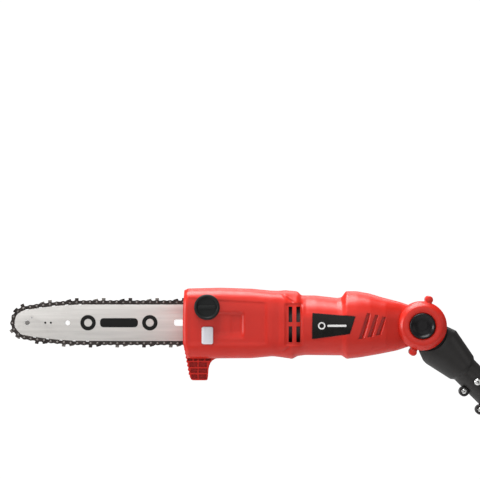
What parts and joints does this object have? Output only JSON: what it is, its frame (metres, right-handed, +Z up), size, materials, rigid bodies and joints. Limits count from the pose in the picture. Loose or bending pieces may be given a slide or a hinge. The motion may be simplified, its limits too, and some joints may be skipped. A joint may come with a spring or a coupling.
{
  "type": "telescoping pole saw",
  "caption": "Pole chain saw: red motor head with guide bar, chain and oil cap on a tilting knuckle, telescoping pole, lever clamp, fore-grip and rear trigger handle.",
  "frame": {"origin": "centre of the rear hand grip, on the pole's axis, where the tool is held", "axes": "+X towards the butt side with the guide bar pointing along -X and the head level; +Z up; +Y across the tool, away from the oil cap side; the retracted pole rises from the origin at 45 degrees between -X and +Z"},
  "size_m": [1.5728, 0.1, 1.045],
  "materials": {
    "red_shell": "semi-gloss moulded red plastic",
    "black_plastic": "satin black moulded plastic",
    "grey_plastic": "satin dark grey glass-filled plastic",
    "switch_plastic": "matte black switch housing",
    "window": "milky translucent plastic",
    "tank_plastic": "natural blow-moulded plastic",
    "bar_steel": "ground steel, satin",
    "chain_steel": "dark oxide steel",
    "bright_steel": "bright zinc-plated steel",
    "spring_steel": "hardened steel",
    "cast_aluminium": "die-cast, matt",
    "tube_aluminium": "drawn tube, anodised",
    "painted_tube": "black powder coat",
    "copper": "wound copper and laminated iron",
    "rubber": "matte elastomer"
  },
  "bodies": {
    "pole_lower": {"outer_tube": "painted_tube", "clamp_collar": "black_plastic", "clamp_bolt": "bright_steel", "front_grip": "rubber", "strap_ring": "bright_steel", "handle_near": "grey_plastic", "handle_far": "grey_plastic", "handle_screw_1": "bright_steel", "handle_screw_2": "bright_steel", "power_switch": "switch_plastic", "power_inlet": "black_plastic"},
    "clamp_lever": {"clamp_lever": "red_shell"},
    "trigger": {"trigger": "black_plastic"},
    "lock_button": {"lock_button": "red_shell"},
    "pole_upper": {"inner_tube": "tube_aluminium", "glide_bush": "black_plastic", "knuckle_near": "grey_plastic", "knuckle_far": "grey_plastic", "knuckle_screw_1": "bright_steel", "knuckle_screw_2": "bright_steel", "knuckle_screw_3": "bright_steel", "knuckle_screw_4": "bright_steel", "tube_screw": "bright_steel", "pivot_pin": "bright_steel", "detent_plate": "spring_steel"},
    "head": {"head_shell_near": "red_shell", "head_shell_far": "red_shell", "branch_hook": "red_shell", "button_spring": "spring_steel", "label_plate": "black_plastic", "oil_window": "window", "drum_screw_upper": "bright_steel", "drum_screw_lower": "bright_steel", "oil_tank": "tank_plastic", "oil_pump": "cast_aluminium", "bar_stud": "bright_steel", "motor_stator": "cast_aluminium", "motor_bearing_front": "bright_steel", "motor_bearing_rear": "bright_steel", "spindle_bearing_near": "bright_steel", "spindle_bearing_far": "bright_steel", "gear_case": "cast_aluminium"},
    "tilt_button": {"tilt_button": "black_plastic"},
    "rotor": {"rotor_core": "copper", "rotor_shaft": "bright_steel", "commutator": "copper", "cooling_fan": "black_plastic", "bevel_pinion": "spring_steel"},
    "spindle": {"spindle_shaft": "bright_steel", "bevel_gear": "spring_steel", "drive_sprocket": "spring_steel"},
    "bar": {"guide_bar": "bar_steel", "saw_chain": "chain_steel", "nose_rivet": "spring_steel", "tension_pin": "bright_steel"},
    "nose_sprocket": {"nose_sprocket": "spring_steel"},
    "cap_seal": {"cap_seal": "rubber"},
    "oil_cap": {"oil_cap": "black_plastic"},
    "chain_cover": {"chain_cover": "black_plastic"},
    "cover_knob": {"cover_knob": "black_plastic"}
  },
  "joints": [
    {"name": "telescope", "type": "slide", "parent": "pole_lower", "child": "pole_upper", "axis": [-0.7071, 0, 0.7071], "range_m": [0, 0.74]},
    {"name": "tilt", "type": "hinge", "parent": "pole_upper", "child": "head", "pos_m": [-0.84747, 0, 0.84959], "axis": [0, 1, 0], "range_deg": [0, 40]},
    {"name": "tilt_button_press", "type": "slide", "parent": "head", "child": "tilt_button", "axis": [0, 1, 0], "range_m": [0, 0.003], "stiffness_N_per_m": 600},
    {"name": "rotor_spin", "type": "hinge", "parent": "head", "child": "rotor", "pos_m": [-1.09237, -0.004, 0.85359], "axis": [1, 0, 0], "continuous": true},
    {"name": "spindle_spin", "type": "hinge", "parent": "head", "child": "spindle", "pos_m": [-1.09237, -0.004, 0.85359], "axis": [0, 1, 0], "continuous": true},
    {"name": "bar_tension", "type": "slide", "parent": "head", "child": "bar", "axis": [-1, 0, 0], "range_m": [0, 0.002]},
    {"name": "nose_spin", "type": "hinge", "parent": "bar", "child": "nose_sprocket", "pos_m": [-1.40897, 0.014, 0.85359], "axis": [0, 1, 0], "continuous": true},
    {"name": "cap_lift", "type": "slide", "parent": "head", "child": "cap_seal", "axis": [0, -1, 0], "range_m": [0, 0.03]},
    {"name": "cap_turn", "type": "hinge", "parent": "cap_seal", "child": "oil_cap", "pos_m": [-1.15267, -0.04, 0.87659], "axis": [0, -1, 0], "range_deg": [0, 90]},
    {"name": "cover_off", "type": "slide", "parent": "head", "child": "chain_cover", "axis": [0, 1, 0], "range_m": [0, 0.06]},
    {"name": "knob_turn", "type": "hinge", "parent": "chain_cover", "child": "cover_knob", "pos_m": [-1.16547, 0.038, 0.85359], "axis": [0, 1, 0], "continuous": true},
    {"name": "trigger_squeeze", "type": "hinge", "parent": "pole_lower", "child": "trigger", "pos_m": [-0.05339, 0, 0.0244], "axis": [0, 1, 0], "range_deg": [0, 12], "stiffness_Nm_per_rad": 2},
    {"name": "lock_press", "type": "slide", "parent": "pole_lower", "child": "lock_button", "axis": [-0.7071, 0, -0.7071], "range_m": [0, 0.004], "stiffness_N_per_m": 600},
    {"name": "clamp_lever_turn", "type": "hinge", "parent": "pole_lower", "child": "clamp_lever", "pos_m": [-0.71807, 0, 0.67352], "axis": [0, 1, 0], "range_deg": [0, 110]}
  ],
  "couplings": [
    {"joint": "spindle_spin", "follows": "rotor_spin", "ratio": 0.33333},
    {"joint": "nose_spin", "follows": "rotor_spin", "ratio": 0.25}
  ]
}
